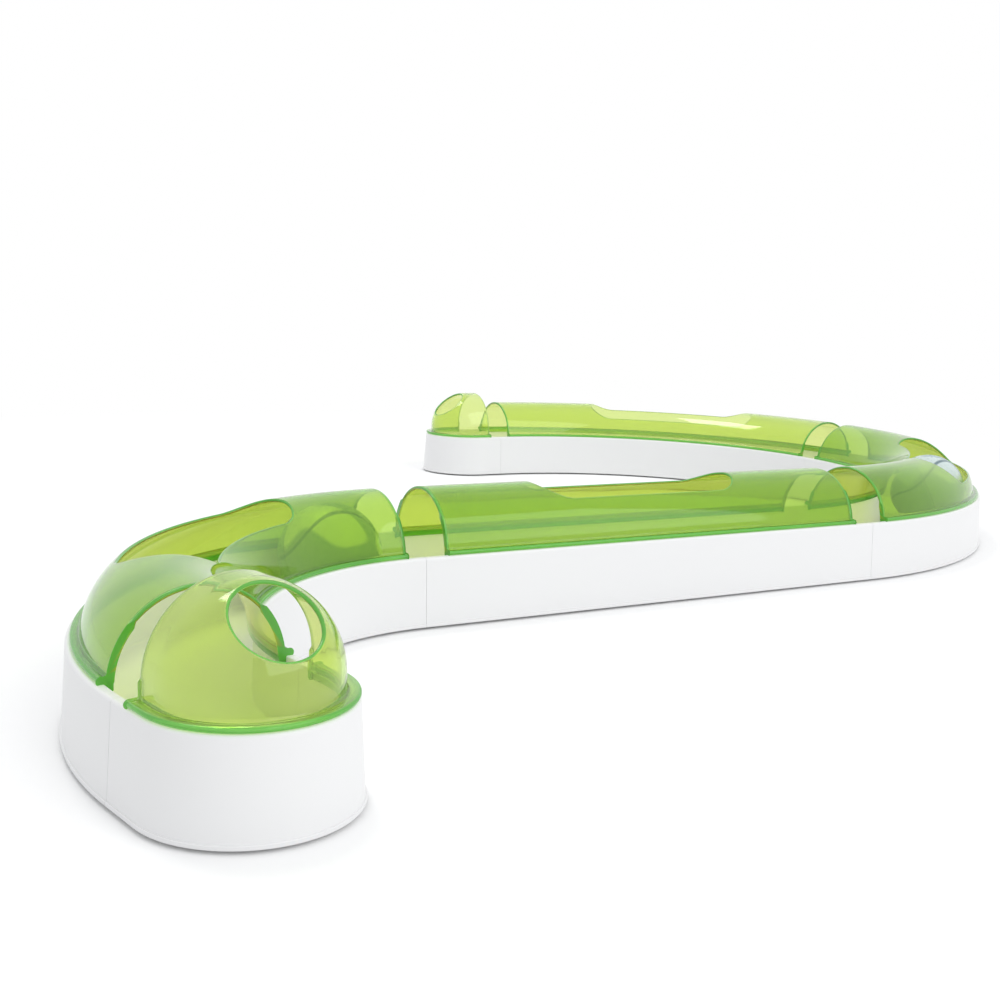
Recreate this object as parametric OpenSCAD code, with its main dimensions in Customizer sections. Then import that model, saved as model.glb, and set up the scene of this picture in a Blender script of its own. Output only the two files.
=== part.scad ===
// Modular ball track for cats: white channel bases, clear green lift-off covers with paw slots,
// two domed dead ends and two hollow balls. Millimetres, Z up, floor at Z = 0,
// origin under the middle of the straight module.

/* [Track plan] */
// Length of the straight module along the track
straight_len = 229; // [180:1:320]
// Centreline radius of the tight hook
hook_r = 114; // [90:1:160]
// Angle that the tight hook turns through
hook_angle = 102; // [80:1:120]
// Centreline radius of the two wide curves
loop_r = 176; // [150:1:240]
// Angle that each wide curve turns through
loop_angle = 90; // [70:1:95]
// Straight run of a dead end before its round end
end_run = 15.5; // [13:0.5:40]

/* [Channel base] */
// Height of the rim that the cover sits on above the middle of a ball
rim_over_ball = 1.7; // [-2:0.1:6]
// Thickness of a base's wall at the rim
rim_t = 3; // [2.4:0.1:5]
// How far a base's wall leans out from the rim to the bottom
wall_lean = 1.3; // [0.4:0.1:4]
// Distance that a channel's wall stands outside the arch of its cover
cover_inset = 0.6; // [0.4:0.1:1.2]
// Thickness of the channel floor
floor_t = 4; // [3:0.5:6]
// Height of the small lip round the foot of a base
lip_h = 1.2; // [0.6:0.1:3]
// How far that lip stands out
lip_out = 0.5; // [0.2:0.1:1.5]
// Rounding of the outer edge of the rim
rim_round = 1; // [0.4:0.1:1.6]
// Gap between two modules at a joint
seam_gap = 0.4; // [0.3:0.05:0.8]

/* [Module connectors] */
// Sideways place of a knob or socket from the centreline
knob_side = 11; // [9:0.5:14]
// Distance from the joint to the centre of a knob's head
knob_reach = 8; // [7:0.5:12]
// Radius of a knob's round head
knob_r = 4.5; // [3.5:0.25:5.5]
// Width of a knob's neck
neck_w = 4.6; // [3:0.2:6]
// Clearance all round a knob in its socket
knob_gap = 0.35; // [0.3:0.05:0.6]

/* [Covers] */
// Outer radius of a cover's arch, which the channel and the balls follow
cover_r = 23.6; // [19:0.1:28]
// How far the middle of a straight or curved cover's arch lies below the rim
cover_sink = 1.2; // [0:0.1:2]
// Wall thickness of a cover
cover_t = 1.8; // [1.2:0.1:2.4]
// Width of the rim that a cover's flange leaves bare
rim_bare = 1.2; // [0.4:0.1:2]
// Thickness of a flange
flange_t = 1.6; // [1:0.1:2.4]
// Distance from a module joint to the end of the straight cover
straight_setback = 10; // [6:0.5:20]
// Distance from a module joint to the end of a curved cover
curve_setback = 9; // [6:0.5:20]
// Distance from a module joint to the mouth of a domed cover
dome_setback = 8; // [6:0.5:9]
// Height of the upright wall under a dome
dome_stilt = 5.6; // [2:0.2:9]
// Radius of the round paw hole in a dome
paw_hole_r = 11.2; // [8:0.1:14]
// Tilt of the paw hole's axis above level
paw_hole_tilt = 50; // [35:1:60]

/* [Paw slots] */
// Length of the paw slot in the straight and hook covers
slot_len = 102; // [80:1:120]
// Length of the paw slot in a cover of a wide curve
wide_slot_len = 116; // [80:1:150]
// Half width of the slot in the straight and hook covers, and radius of its round ends
slot_half_w = 14; // [10:0.1:15]
// How far the slot of a wide curve's cover stays inside the cover's outer wall
wide_slot_wall = 1.8; // [1.2:0.1:6]
// Reach of that slot from the crest towards the centre of the curve
wide_slot_in = 11; // [6:0.1:15]
// Distance from the middle of a straight or hook cover back to the middle of its slot
slot_shift = 4; // [-8:1:8]
// Distance from the middle of a wide curve's cover to the middle of its slot, towards the front
wide_slot_shift = 4; // [-8:1:8]

/* [Cover ribs] */
// Depth below the rim of the rib that locates a cover in its channel
rib_drop = 2; // [1:0.5:6]
// Thickness of a rib
rib_t = 1.5; // [1:0.1:1.8]
// Clearance between a rib and the channel wall
rib_gap = 0.35; // [0.3:0.05:0.6]

/* [Rubber feet] */
// Diameter of a foot
foot_d = 10; // [6:0.5:12]
// How far a foot stands out below the base
foot_stand = 1; // [0.6:0.1:2]
// Depth of the recess that holds a foot
foot_seat = 1; // [0.5:0.1:1.5]
// Radial clearance of a foot in its recess
foot_gap = 0.1; // [0.05:0.05:0.3]
// Sideways place of a foot from the centreline
foot_side = 17; // [14:0.5:20]
// Distance from a module joint to its nearest feet
foot_inset = 22; // [20:1:30]

/* [Balls] */
// Gap between a ball and the wall of a cover
ball_room = 1.8; // [1.3:0.1:4]
// Wall thickness of a ball
ball_wall = 1.2; // [0.8:0.1:2]
// Gap under a ball, so that it never rubs while it travels
ball_lift = 0.3; // [0.3:0.05:0.6]
// Height of the joint ring on each side of a ball's seam
ring_h = 3; // [2:0.5:5]
// Wall thickness of the joint ring
ring_t = 0.8; // [0.6:0.1:1.2]
// Clearance of the joint ring in the lower half
ring_gap = 0.2; // [0.1:0.05:0.4]
// Tilt of a ball's seam
seam_tilt = 65; // [0:1:90]
// Angle of the hook's ball from the straight module
hook_ball_angle = 15; // [13:1:80]
// Angle of the loop's ball from the straight module
loop_ball_angle = 45; // [13:1:80]

/* [Hidden] */

$fn = 96;
// Overrun of every cut past the face that it opens
cut = 1;
cover_in = cover_r - cover_t;
channel_half = cover_r + cover_inset;
rim_half = channel_half + rim_t;
bottom_half = rim_half + wall_lean;
flange_half = rim_half - rim_bare;
rib_out = channel_half - rib_gap;
ball_r = cover_in - ball_room;
floor_z = foot_stand + floor_t;
ball_z = floor_z + ball_lift + ball_r;
seat_z = ball_z + rim_over_ball;
white = [0.95, 0.95, 0.95];
green = [0.62, 0.8, 0.25, 0.6];
rubber = [0.75, 0.75, 0.76];
ball_pale = [0.88, 0.9, 0.86];
ball_grey = [0.5, 0.58, 0.62];
// Angle between the feet round a dead end
end_spread = 60;
// Steps in each rounded stretch of a rim, in a slot's round end and along its side
rim_steps = 4;
round_steps = 16;
side_steps = 12;

// Angle in degrees that a length covers on a circle
function turn(length, radius) = length / radius * 180 / PI;

// Places

// Frame at the middle of the hook's circle, turned to where the hook starts
module at_hook() {
    translate([-straight_len / 2, -hook_r, 0]) rotate(90) children();
}

// Frame at the middle of the wide curves' circle, turned to where a curve starts
module at_loop(start) {
    translate([straight_len / 2, loop_r, 0]) rotate(start - 90) children();
}

// Frame at a curve's far joint, with X pointing out of the curve along the track
module at_curve_end(radius, angle) {
    rotate(angle) translate([radius, 0, 0]) rotate(90) children();
}

// Frame at a curve's near joint, with X pointing out of the curve along the track
module at_curve_start(radius) {
    translate([radius, 0, 0]) rotate(-90) children();
}

module at_front_end() {
    at_hook() at_curve_end(hook_r, hook_angle) children();
}

module at_rear_end() {
    at_loop(loop_angle) at_curve_end(loop_r, loop_angle) children();
}

// Turns an outline of sideways place and height into a bar along X
module along_x(start, length) {
    translate([start, 0, 0]) rotate([90, 0, 90]) linear_extrude(length) children();
}

// Channel bases

// One side of the channel's outline, from the foot of the wall over the rim to the floor
function wall_outline(side) = [
    [side * (bottom_half + lip_out), foot_stand],
    [side * (bottom_half + lip_out), foot_stand + lip_h],
    [side * bottom_half, foot_stand + lip_h],
    for (step = [0:rim_steps])
        let (a = step / rim_steps * 90)
        [side * (rim_half - rim_round + rim_round * cos(a)),
         seat_z - rim_round + rim_round * sin(a)],
    [side * channel_half, seat_z],
    [side * channel_half, floor_z]
];

module channel_outline() {
    left = wall_outline(-1);
    polygon(concat(wall_outline(1), [for (i = [len(left) - 1:-1:0]) left[i]]));
}

module channel_half_outline() {
    polygon(concat([[0, foot_stand]], wall_outline(1), [[0, floor_z]]));
}

// Round-headed knob that drops into the next module's socket
module knob() {
    translate([-cut, knob_side - neck_w / 2, foot_stand]) cube([knob_reach + cut, neck_w, floor_t]);
    translate([knob_reach, knob_side, foot_stand]) cylinder(r = knob_r, h = floor_t);
}

// Socket for the next module's knob, open above and below so that modules lift apart
module socket() {
    slot_w = neck_w + 2 * knob_gap;
    translate([-knob_reach, -knob_side - slot_w / 2, foot_stand - cut])
        cube([knob_reach + cut, slot_w, floor_t + 2 * cut]);
    translate([-knob_reach, -knob_side, foot_stand - cut])
        cylinder(r = knob_r + knob_gap, h = floor_t + 2 * cut);
}

// Recesses for the feet at a list of places
module foot_recesses(places) {
    for (p = places)
        translate([p[0], p[1], foot_stand - cut])
            cylinder(r = foot_d / 2 + foot_gap, h = foot_seat + cut);
}

// Rubber feet at the same list of places
module feet(places) {
    color(rubber)
        for (p = places)
            translate([p[0], p[1], 0]) cylinder(d = foot_d, h = foot_stand + foot_seat);
}

// The straight module has one more foot in its middle, which marks the part's origin
function straight_foot_places() = [
    [0, 0],
    for (end = [-1, 1], side = [-1, 1])
        [end * (straight_len / 2 - foot_inset), side * foot_side]
];

function curve_foot_places(radius, angle) = [
    for (a = [turn(foot_inset, radius), angle - turn(foot_inset, radius)], side = [-1, 1])
        [(radius + side * foot_side) * cos(a), (radius + side * foot_side) * sin(a)]
];

function end_foot_places() = [
    for (a = [-1, 0, 1])
        [end_run + foot_side * cos(a * end_spread), foot_side * sin(a * end_spread)]
];

module straight_channel() {
    color(white) difference() {
        union() {
            along_x((seam_gap - straight_len) / 2, straight_len - seam_gap) channel_outline();
            for (a = [0, 180]) rotate(a) translate([straight_len / 2, 0, 0]) knob();
        }
        for (a = [0, 180]) rotate(a) translate([straight_len / 2, 0, 0]) socket();
        foot_recesses(straight_foot_places());
    }
}

module curve_channel(radius, angle) {
    seam_turn = turn(seam_gap / 2, radius);
    color(white) difference() {
        union() {
            rotate(seam_turn) rotate_extrude(angle = angle - 2 * seam_turn, $fn = 180)
                translate([radius, 0]) channel_outline();
            at_curve_start(radius) knob();
            at_curve_end(radius, angle) knob();
        }
        at_curve_start(radius) socket();
        at_curve_end(radius, angle) socket();
        foot_recesses(curve_foot_places(radius, angle));
    }
}

// Dead end with its joint at X = 0 on the side towards -X
module end_channel() {
    color(white) difference() {
        union() {
            along_x(seam_gap / 2, end_run - seam_gap / 2) channel_outline();
            translate([end_run, 0, 0]) rotate(-90)
                rotate_extrude(angle = 180) channel_half_outline();
            rotate(180) knob();
        }
        rotate(180) socket();
        foot_recesses(end_foot_places());
    }
}

// Covers

// One side of a cover at the rim: its flange out to the given reach, and the rib under it
module cover_foot(reach) {
    translate([cover_in, seat_z]) square([reach - cover_in, flange_t]);
    translate([rib_out - rib_t, seat_z - rib_drop]) square([rib_t, rib_drop + flange_t]);
}

// Arch of a straight or curved cover, with its flanges and ribs
module cover_outline() {
    translate([0, seat_z]) intersection() {
        translate([0, -cover_sink]) difference() {
            circle(r = cover_r);
            circle(r = cover_in);
        }
        translate([-cover_r, 0]) square([2 * cover_r, cover_r]);
    }
    for (side = [0, 1]) mirror([side, 0]) cover_foot(flange_half);
}

// Foot and upright wall of a domed cover, whose flange is as wide as the rim
module dome_wall_outline() {
    cover_foot(rim_half);
    translate([cover_in, seat_z]) square([cover_t, dome_stilt]);
}

// Higher arch of a domed cover: a half ring on two upright walls
module dome_outline() {
    translate([0, seat_z + dome_stilt]) intersection() {
        difference() {
            circle(r = cover_r);
            circle(r = cover_in);
        }
        translate([-cover_r, 0]) square([2 * cover_r, cover_r]);
    }
    for (side = [0, 1]) mirror([side, 0]) dome_wall_outline();
}

// Outline of a paw slot, a strip with half-round ends, as place along the track from the
// middle of the cover and sideways place from the crest. The middle of the slot is given as
// such a pair.
function slot_outline(length, half_w, middle) =
    let (end_at = length / 2 - half_w)
    [
        for (p = concat(
            [for (i = [0:round_steps])
                let (a = 90 + 180 * i / round_steps) [half_w * cos(a) - end_at, half_w * sin(a)]],
            [for (i = [1:side_steps - 1]) [end_at * (2 * i / side_steps - 1), -half_w]],
            [for (i = [0:round_steps])
                let (a = -90 + 180 * i / round_steps) [half_w * cos(a) + end_at, half_w * sin(a)]],
            [for (i = [1:side_steps - 1]) [end_at * (1 - 2 * i / side_steps), half_w]]
        )) p + middle
    ];

function plain_slot() = slot_outline(slot_len, slot_half_w, [-slot_shift, 0]);

// The slot of a wide curve's cover, which lies nearer to the outer wall
function wide_slot() =
    let (outer = cover_in - wide_slot_wall)
    slot_outline(wide_slot_len, (outer + wide_slot_in) / 2,
        [wide_slot_shift, (outer - wide_slot_in) / 2]);

// A slot's outline carried round a curve whose angle is given
module curved_slot(radius, angle, outline) {
    polygon([
        for (p = outline)
            let (a = angle / 2 - turn(p[0], radius))
            [(radius + p[1]) * cos(a), (radius + p[1]) * sin(a)]
    ]);
}

module slot_cutter() {
    translate([0, 0, seat_z + flange_t]) linear_extrude(cover_r + cut) children();
}

module straight_tunnel() {
    color(green) difference() {
        along_x(straight_setback - straight_len / 2, straight_len - 2 * straight_setback)
            cover_outline();
        slot_cutter() polygon(plain_slot());
    }
}

module curve_tunnel(radius, angle, outline) {
    back_turn = turn(curve_setback, radius);
    color(green) difference() {
        rotate(back_turn) rotate_extrude(angle = angle - 2 * back_turn, $fn = 180)
            translate([radius, 0]) cover_outline();
        slot_cutter() curved_slot(radius, angle, outline);
    }
}

// Domed cover of a dead end: a short tunnel that closes in a quarter ball, with a paw hole
module end_dome() {
    dome_z = seat_z + dome_stilt;
    color(green) difference() {
        union() {
            along_x(dome_setback, end_run - dome_setback) dome_outline();
            translate([end_run, 0, 0]) {
                intersection() {
                    translate([0, 0, dome_z]) difference() {
                        sphere(r = cover_r);
                        sphere(r = cover_in);
                    }
                    translate([0, -cover_r, dome_z]) cube([cover_r, 2 * cover_r, cover_r]);
                }
                rotate(-90) rotate_extrude(angle = 180) dome_wall_outline();
            }
        }
        translate([end_run, 0, dome_z]) rotate([0, 90 - paw_hole_tilt, 0])
            cylinder(r = paw_hole_r, h = cover_r + cut);
    }
}

// Balls

// Upper half of a ball with the ring that locates the lower half
module ball_upper() {
    inner_r = ball_r - ball_wall;
    ring_r = sqrt(inner_r * inner_r - ring_h * ring_h / 4) - ring_gap;
    color(ball_pale) {
        rotate_extrude() difference() {
            intersection() {
                circle(r = ball_r);
                square(ball_r);
            }
            circle(r = inner_r);
        }
        translate([0, 0, -ring_h / 2]) difference() {
            cylinder(r = ring_r, h = 2 * ring_h);
            translate([0, 0, -cut]) cylinder(r = ring_r - ring_t, h = 2 * (ring_h + cut));
        }
    }
}

module ball_lower() {
    color(ball_grey) rotate_extrude() difference() {
        intersection() {
            circle(r = ball_r);
            translate([0, -ball_r]) square(ball_r);
        }
        circle(r = ball_r - ball_wall);
    }
}

module at_hook_ball() {
    at_hook() rotate(hook_ball_angle) translate([hook_r, 0, ball_z]) rotate([seam_tilt, 0, 0])
        children();
}

module at_loop_ball() {
    at_loop(0) rotate(loop_ball_angle) translate([loop_r, 0, ball_z])
        rotate([0, seam_tilt, 0]) children();
}

// Nodes

module front_end_base() { at_front_end() end_channel(); }
module hook_base() { at_hook() curve_channel(hook_r, hook_angle); }
module straight_base() { straight_channel(); }
module right_base() { at_loop(0) curve_channel(loop_r, loop_angle); }
module far_base() { at_loop(loop_angle) curve_channel(loop_r, loop_angle); }
module rear_end_base() { at_rear_end() end_channel(); }

module front_end_cover() { at_front_end() end_dome(); }
module hook_cover() { at_hook() curve_tunnel(hook_r, hook_angle, plain_slot()); }
module straight_cover() { straight_tunnel(); }
module right_cover() { at_loop(0) curve_tunnel(loop_r, loop_angle, wide_slot()); }
module far_cover() { at_loop(loop_angle) curve_tunnel(loop_r, loop_angle, wide_slot()); }
module rear_end_cover() { at_rear_end() end_dome(); }

module front_end_feet() { at_front_end() feet(end_foot_places()); }
module hook_feet() { at_hook() feet(curve_foot_places(hook_r, hook_angle)); }
module straight_feet() { feet(straight_foot_places()); }
module right_feet() { at_loop(0) feet(curve_foot_places(loop_r, loop_angle)); }
module far_feet() { at_loop(loop_angle) feet(curve_foot_places(loop_r, loop_angle)); }
module rear_end_feet() { at_rear_end() feet(end_foot_places()); }

module hook_ball_upper() { at_hook_ball() ball_upper(); }
module hook_ball_lower() { at_hook_ball() ball_lower(); }
module loop_ball_upper() { at_loop_ball() ball_upper(); }
module loop_ball_lower() { at_loop_ball() ball_lower(); }

front_end_base();
hook_base();
straight_base();
right_base();
far_base();
rear_end_base();
front_end_cover();
hook_cover();
straight_cover();
right_cover();
far_cover();
rear_end_cover();
front_end_feet();
hook_feet();
straight_feet();
right_feet();
far_feet();
rear_end_feet();
hook_ball_upper();
hook_ball_lower();
loop_ball_upper();
loop_ball_lower();
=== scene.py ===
"""Looks for the cat ball track toy: white channel bases, clear lime covers and two balls.

Every visible piece is a surface worked out in millimetres and placed in the CAD frame, with its
place in its mesh. The scene adds a white floor, soft studio light and the camera.
"""

from __future__ import annotations

import logging
import math
from dataclasses import dataclass, field
from enum import Enum
from typing import Callable, Protocol

import bmesh
import bpy
import numpy as np
from mathutils import Matrix, Vector

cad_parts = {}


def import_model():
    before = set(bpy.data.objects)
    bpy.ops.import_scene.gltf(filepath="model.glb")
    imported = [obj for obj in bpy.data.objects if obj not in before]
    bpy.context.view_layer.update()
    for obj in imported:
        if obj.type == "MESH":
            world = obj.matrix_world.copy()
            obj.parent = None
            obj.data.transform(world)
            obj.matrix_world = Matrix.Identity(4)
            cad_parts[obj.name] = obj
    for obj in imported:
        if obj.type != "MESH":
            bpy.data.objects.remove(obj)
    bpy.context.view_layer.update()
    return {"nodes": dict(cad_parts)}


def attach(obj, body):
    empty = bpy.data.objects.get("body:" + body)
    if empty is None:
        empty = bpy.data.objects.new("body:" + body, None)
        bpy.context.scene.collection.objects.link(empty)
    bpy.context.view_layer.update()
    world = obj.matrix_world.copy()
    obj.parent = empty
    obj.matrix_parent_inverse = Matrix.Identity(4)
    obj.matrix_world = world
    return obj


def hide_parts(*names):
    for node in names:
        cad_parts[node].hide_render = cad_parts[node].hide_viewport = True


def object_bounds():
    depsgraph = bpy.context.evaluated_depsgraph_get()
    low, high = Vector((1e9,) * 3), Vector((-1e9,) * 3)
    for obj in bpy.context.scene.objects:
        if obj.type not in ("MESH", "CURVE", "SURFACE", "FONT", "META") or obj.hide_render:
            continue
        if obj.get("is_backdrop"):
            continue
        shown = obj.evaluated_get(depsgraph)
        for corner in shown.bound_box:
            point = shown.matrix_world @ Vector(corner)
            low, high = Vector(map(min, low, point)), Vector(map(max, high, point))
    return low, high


LOG = logging.getLogger("track")
MM = 0.001
Array = np.ndarray
Piece = bpy.types.Object
Material = bpy.types.Material
Socket = bpy.types.NodeSocket
Colour = Place = tuple[float, float, float]
Span = tuple[float, float]
WHITE: Colour = (1.0, 1.0, 1.0)


class Slot(Enum):
    """The record's material slots that new pieces use."""

    BASE = "base_white"
    COVER = "cover_green"
    PALE = "ball_pale"
    GREY = "ball_grey"


class Side(Enum):
    """Which side of a way's centreline a wall stands on."""

    LEFT = 1.0
    RIGHT = -1.0


# Ways: the centrelines that the modules follow


def circle(x: float, y: float, radius: float, turn: Array | float) -> Array:
    """Points on a circle about x and y, at angles in radians."""
    return np.stack([x + radius * np.cos(turn), y + radius * np.sin(turn)], -1)


class Way(Protocol):
    """A module's centreline; it turns along, side and height into a place in the frame."""

    length: float

    def place(self, along: Array, side: Array, height: Array) -> Array:
        """World places in mm for arrays of along, side and height."""

    def joint(self, far: bool) -> JointFrame:
        """Joint at the - end if far, else at the + end, with its heading out of the module."""


@dataclass(frozen=True)
class StraightWay:
    """The straight module's way, along +X, with its middle at the origin."""

    length: float

    def place(self, along: Array, side: Array, height: Array) -> Array:
        """Along is X, side is Y and height is Z."""
        return np.stack(np.broadcast_arrays(along, side, height), -1)

    def joint(self, far: bool) -> JointFrame:
        """Joint at the - end if far, else at the + end."""
        half = self.length / 2
        return JointFrame(-half, 0.0, 180.0) if far else JointFrame(half, 0.0, 0.0)


@dataclass(frozen=True)
class BendWay:
    """A bend's way: part of a circle, with along measured back from its middle to its start."""

    centre: tuple[float, float]
    radius: float
    start: float
    sweep: float

    @property
    def length(self) -> float:
        """Length of the centreline."""
        return math.radians(self.sweep) * self.radius

    def place(self, along: Array, side: Array, height: Array) -> Array:
        """Centre plus radius and side, turned by the angle for along; side points outwards.

        Args:
            along: Distance from the way's middle towards its start, in mm.
            side: Distance outwards from the centreline, in mm.
            height: Height above the floor, in mm.

        Returns:
            World places in mm, with the last axis holding x, y and z.
        """
        a, s, h = np.broadcast_arrays(along, side, height)
        turn = math.radians(self.start + self.sweep / 2) - a / self.radius
        reach = self.radius + s
        x = self.centre[0] + reach * np.cos(turn)
        y = self.centre[1] + reach * np.sin(turn)
        return np.stack([x, y, h], -1)

    def point(self, turn: float) -> tuple[float, float]:
        """Point of the centreline at an angle in degrees."""
        x, y = circle(*self.centre, self.radius, math.radians(turn))
        return float(x), float(y)

    def joint(self, far: bool) -> JointFrame:
        """Joint at the sweep's end if far, else at its start."""
        turn = self.start + (self.sweep if far else 0.0)
        return JointFrame(*self.point(turn), turn + (90.0 if far else -90.0))


@dataclass(frozen=True)
class JointFrame:
    """A module joint: its point, and the heading that leads out of the module."""

    x: float
    y: float
    heading: float

    def place(self, out: Array, left: Array, height: Array) -> Array:
        """Joint point, plus out along the heading and left across it.

        Args:
            out: Distance along the heading, in mm.
            left: Distance to its left, in mm.
            height: Height above the floor, in mm.

        Returns:
            World places in mm.
        """
        o, s, h = np.broadcast_arrays(out, left, height)
        c, t = math.cos(math.radians(self.heading)), math.sin(math.radians(self.heading))
        return np.stack([self.x + o * c - s * t, self.y + o * t + s * c, h], -1)


@dataclass(frozen=True)
class Plan:
    """The track's plan in mm and degrees, as in the part's source, with each module's way."""

    straight: StraightWay = StraightWay(229.0)
    hook: BendWay = BendWay((-114.5, -114.0), 114.0, 90.0, 102.0)
    right: BendWay = BendWay((114.5, 176.0), 176.0, -90.0, 90.0)
    far: BendWay = BendWay((114.5, 176.0), 176.0, 0.0, 90.0)
    end_run: float = 15.5
    ball_height: float = 25.3
    hook_ball_angle: float = 15.0
    loop_ball_angle: float = 45.0


PLAN = Plan()


# Skin: gathers surfaces into one mesh


@dataclass
class Skin:
    """Gathers grids and flat faces into one mesh, in mm until the piece is made."""

    name: str
    points: list[Array] = field(default_factory=list)
    marks: list[Array] = field(default_factory=list)
    inner: list[Array] = field(default_factory=list)
    faces: list[list[int]] = field(default_factory=list)
    count: int = 0

    def grid(self, places: Array, closed: bool = False, marks: Array | float = 0.0,
             inner: Array | float = 0.0) -> None:
        """Adds a grid of quads through rows and columns of places.

        Args:
            places: Array of rows by columns by three, in mm.
            closed: Whether the last column joins the first.
            marks: How far each place belongs to a cut edge, from 0 to 1.
            inner: 1 where a place is on the inside of a thin wall, and 0 elsewhere.
        """
        rows, cols = places.shape[:2]
        index = np.arange(rows * cols).reshape(rows, cols) + self.count
        right = np.roll(index, -1, axis=1)
        if not closed:
            index, right = index[:, :-1], right[:, :-1]
        quads = np.stack([index[:-1], right[:-1], right[1:], index[1:]], -1).reshape(-1, 4)
        self.faces.extend(quads.tolist())
        self.points.append(places.reshape(-1, 3))
        self.marks.append(np.broadcast_to(marks, (rows, cols)).reshape(-1))
        self.inner.append(np.broadcast_to(inner, (rows, cols)).reshape(-1))
        self.count += rows * cols

    def flat(self, loop: Array, flip: bool = False, mark: float = 0.0) -> None:
        """Adds one flat face with the given outline and edge mark.

        Args:
            loop: Corners in order, in mm.
            flip: Whether the order is turned round.
            mark: How far the face belongs to a cut edge, from 0 to 1.
        """
        order = list(range(self.count, self.count + len(loop)))
        self.faces.append(order[::-1] if flip else order)
        self.points.append(loop)
        self.marks.append(np.full(len(loop), mark))
        self.inner.append(np.zeros(len(loop)))
        self.count += len(loop)

    def bar(self, rows: Array) -> None:
        """Adds a closed grid with a flat face at each end.

        Args:
            rows: Array of rows by columns by three, in mm.
        """
        self.grid(rows, closed=True)
        self.flat(rows[0])
        self.flat(rows[-1], flip=True)

    def piece(self, sharp: float = 40.0, turn_out: bool = True) -> Piece:
        """Makes the object, with doubles merged, faces out and all but its flat faces smooth.

        Args:
            sharp: Angle in degrees above which an edge stays sharp.
            turn_out: Whether normals are worked out again after the merge.

        Returns:
            The new object, at the origin, with its place in its mesh.
        """
        mesh = bpy.data.meshes.new(self.name)
        mesh.from_pydata((np.concatenate(self.points) * MM).tolist(), [], self.faces)
        for name, values in (("edge", self.marks), ("inner", self.inner)):
            layer = mesh.attributes.new(name, "FLOAT", "POINT")
            layer.data.foreach_set("value", np.concatenate(values).astype(np.float32))
        work = bmesh.new()
        work.from_mesh(mesh)
        bmesh.ops.remove_doubles(work, verts=work.verts, dist=2e-6)
        bmesh.ops.dissolve_degenerate(work, edges=work.edges, dist=1e-7)
        if turn_out:
            bmesh.ops.recalc_face_normals(work, faces=work.faces)
        work.to_mesh(mesh)
        work.free()
        mesh.shade_smooth()
        mesh.set_sharp_from_angle(angle=math.radians(sharp))
        corners = np.empty(len(mesh.polygons), dtype=np.int32)
        mesh.polygons.foreach_get("loop_total", corners)
        mesh.polygons.foreach_set("use_smooth", corners <= 4)
        mesh.update()
        piece = bpy.data.objects.new(self.name, mesh)
        bpy.context.scene.collection.objects.link(piece)
        return piece


def arc(start: float, stop: float, count: int) -> Array:
    """Evenly spaced angles in radians from start to stop, both given in degrees."""
    return np.radians(np.linspace(start, stop, count))


def bow(first: Array, corner: Array, last: Array, count: int) -> Array:
    """Points on the quadratic curve from first to last that is pulled towards corner."""
    t = np.linspace(0.0, 1.0, count)[:, None]
    return (1 - t) ** 2 * first + 2 * t * (1 - t) * corner + t**2 * last


# Finishes


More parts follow.
